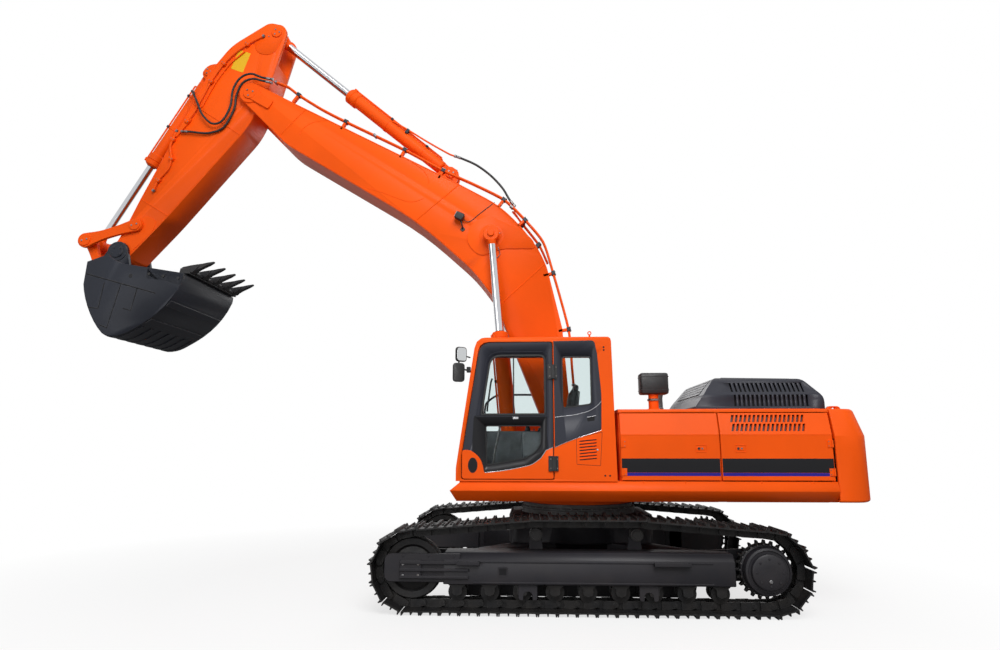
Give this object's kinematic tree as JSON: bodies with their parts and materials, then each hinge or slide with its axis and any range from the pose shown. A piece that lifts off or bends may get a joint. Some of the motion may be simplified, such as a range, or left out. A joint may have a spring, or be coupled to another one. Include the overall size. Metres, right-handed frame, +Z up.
{
  "type": "crawler excavator",
  "caption": "Large crawler excavator with slewing house, glazed cab, cranked boom, arm and toothed bucket, its joints set as parked with the arm raised.",
  "frame": {"origin": "on the ground under the middle of the overall box, boom and bucket included", "axes": "+X forward towards the bucket, +Y to the left, where the cab is, +Z up"},
  "size_m": [11.1604, 3.365, 8.6547],
  "materials": {
    "orange_paint": "gloss orange machine enamel",
    "charcoal_paint": "satin charcoal enamel",
    "undercarriage_paint": "satin dark grey enamel",
    "track_steel": "dark oiled steel",
    "bucket_paint": "dark blue-grey enamel, worn at the edge",
    "cylinder_chrome": "polished hard chrome",
    "tinted_glass": "clear flat safety glass, slight grey tint",
    "black_plastic": "grained black plastic",
    "hose_rubber": "black hydraulic hose",
    "seat_fabric": "woven dark upholstery",
    "cast_iron": "grey primed casting"
  },
  "bodies": {
    "undercarriage": {"car_body": "undercarriage_paint", "swing_bearing": "cast_iron", "track_frame_left": "undercarriage_paint", "track_left": "track_steel", "lower_rollers_left": "track_steel", "idler_left": "track_steel", "sprocket_left": "track_steel", "track_frame_right": "undercarriage_paint", "track_right": "track_steel", "lower_rollers_right": "track_steel", "idler_right": "track_steel", "sprocket_right": "track_steel"},
    "house": {"main_frame": "orange_paint", "counterweight": "orange_paint", "house_shell": "orange_paint", "engine_block": "cast_iron", "radiator": "cast_iron", "hydraulic_tank": "orange_paint", "fuel_tank": "orange_paint", "tool_box": "orange_paint", "air_precleaner": "black_plastic", "exhaust_pipe": "cast_iron", "right_handrail": "charcoal_paint", "cab_shell": "charcoal_paint", "windscreen": "tinted_glass", "cab_rear_window": "tinted_glass", "cab_right_window": "tinted_glass", "cab_quarter_window": "tinted_glass", "operator_seat": "seat_fabric", "controls": "black_plastic", "left_mirrors": "black_plastic"},
    "left_front_door": {"left_front_door": "orange_paint"},
    "left_rear_door": {"left_rear_door": "orange_paint"},
    "right_front_door": {"right_front_door": "orange_paint"},
    "right_rear_door": {"right_rear_door": "orange_paint"},
    "engine_hood": {"engine_hood": "charcoal_paint"},
    "cab_door": {"cab_door": "charcoal_paint", "door_glass_upper": "tinted_glass", "door_glass_lower": "tinted_glass"},
    "boom": {"boom": "orange_paint", "boom_pipes": "orange_paint", "boom_hose": "hose_rubber"},
    "arm": {"arm": "orange_paint", "arm_pipes": "orange_paint", "arm_hose_upper": "hose_rubber", "arm_hose_lower": "hose_rubber"},
    "bucket": {"bucket": "bucket_paint", "cutting_edge": "track_steel"},
    "bucket_link": {"bucket_link": "orange_paint"},
    "rocker": {"rocker": "orange_paint"},
    "bucket_rod": {"bucket_cylinder_rod": "cylinder_chrome"},
    "bucket_barrel": {"bucket_cylinder_barrel": "orange_paint"},
    "arm_rod": {"arm_cylinder_rod": "cylinder_chrome"},
    "arm_barrel": {"arm_cylinder_barrel": "orange_paint"},
    "boom_rods": {"boom_cylinder_rod_left": "cylinder_chrome", "boom_cylinder_rod_right": "cylinder_chrome"},
    "boom_barrels": {"boom_cylinder_barrel_left": "orange_paint", "boom_cylinder_barrel_right": "orange_paint"}
  },
  "joints": [
    {"name": "swing", "type": "hinge", "parent": "undercarriage", "child": "house", "pos_m": [-1.9802, 0, 0], "axis": [0, 0, 1], "continuous": true},
    {"name": "cab_door_hinge", "type": "hinge", "parent": "house", "child": "cab_door", "pos_m": [-1.6232, 1.506, 0], "axis": [0, 0, 1], "range_deg": [0, 165]},
    {"name": "left_front_door_hinge", "type": "hinge", "parent": "house", "child": "left_front_door", "pos_m": [-2.4302, 1.462, 0], "axis": [0, 0, 1], "range_deg": [-105, 0]},
    {"name": "left_rear_door_hinge", "type": "hinge", "parent": "house", "child": "left_rear_door", "pos_m": [-4.9452, 1.462, 0], "axis": [0, 0, -1], "range_deg": [-105, 0]},
    {"name": "right_front_door_hinge", "type": "hinge", "parent": "house", "child": "right_front_door", "pos_m": [-2.4302, -1.462, 0], "axis": [0, 0, -1], "range_deg": [-105, 0]},
    {"name": "right_rear_door_hinge", "type": "hinge", "parent": "house", "child": "right_rear_door", "pos_m": [-4.9452, -1.462, 0], "axis": [0, 0, 1], "range_deg": [-105, 0]},
    {"name": "hood_hinge", "type": "hinge", "parent": "house", "child": "engine_hood", "pos_m": [-5.1322, 0, 2.398], "axis": [0, -1, 0], "range_deg": [0, 55]},
    {"name": "boom_lift", "type": "hinge", "parent": "house", "child": "boom", "pos_m": [-1.7802, 0, 2.05], "axis": [0, -1, 0], "range_deg": [-88, 14]},
    {"name": "arm_crowd", "type": "hinge", "parent": "boom", "child": "arm", "pos_m": [3.03748, 0, 7.38184], "axis": [0, 1, 0], "range_deg": [-61, 47]},
    {"name": "bucket_curl", "type": "hinge", "parent": "arm", "child": "bucket", "pos_m": [4.92768, 0, 4.83204], "axis": [0, 1, 0], "range_deg": [-140, 8]},
    {"name": "rocker_swing", "type": "hinge", "parent": "arm", "child": "rocker", "pos_m": [4.70282, 0, 5.25291], "axis": [0, 1, 0], "range_deg": [-96.69, 6.47]},
    {"name": "link_swing", "type": "hinge", "parent": "rocker", "child": "bucket_link", "pos_m": [5.46293, 0, 5.02342], "axis": [0, 1, 0], "range_deg": [-4.21, 57.18]},
    {"name": "boom_cylinder_tilt", "type": "hinge", "parent": "house", "child": "boom_barrels", "pos_m": [-1.0502, 0, 1.72], "axis": [0, -1, 0], "range_deg": [-96.49, 16.19]},
    {"name": "boom_cylinder_slide", "type": "slide", "parent": "boom_barrels", "child": "boom_rods", "axis": [0.0855, 0, 0.9963], "range_m": [-1.0547, 0.1846]},
    {"name": "arm_cylinder_tilt", "type": "hinge", "parent": "boom", "child": "arm_barrel", "pos_m": [-0.12216, 0, 6.07763], "axis": [0, 1, 0], "range_deg": [-6.4, 5.16]},
    {"name": "arm_cylinder_slide", "type": "slide", "parent": "arm_barrel", "child": "arm_rod", "axis": [0.7621, 0, 0.6475], "range_m": [-1.0966, 0.8495]},
    {"name": "bucket_cylinder_tilt", "type": "hinge", "parent": "arm", "child": "bucket_barrel", "pos_m": [3.8645, 0, 7.92023], "axis": [0, 1, 0], "range_deg": [-4.3, 1.19]},
    {"name": "bucket_cylinder_slide", "type": "slide", "parent": "bucket_barrel", "child": "bucket_rod", "axis": [0.4831, 0, -0.8756], "range_m": [-1.1968, 0.0872]}
  ],
  "couplings": [
    {"joint": "rocker_swing", "follows": "bucket_curl", "ratio": 0.6835},
    {"joint": "link_swing", "follows": "bucket_curl", "ratio": -0.4013},
    {"joint": "boom_cylinder_tilt", "follows": "boom_lift", "ratio": 1.0851},
    {"joint": "boom_cylinder_slide", "follows": "boom_lift", "m_per_rad": 0.6737},
    {"joint": "arm_cylinder_tilt", "follows": "arm_crowd", "ratio": 0.0886},
    {"joint": "arm_cylinder_slide", "follows": "arm_crowd", "m_per_rad": 1.0112},
    {"joint": "bucket_cylinder_tilt", "follows": "bucket_curl", "ratio": 0.0236},
    {"joint": "bucket_cylinder_slide", "follows": "bucket_curl", "m_per_rad": 0.4816}
  ]
}
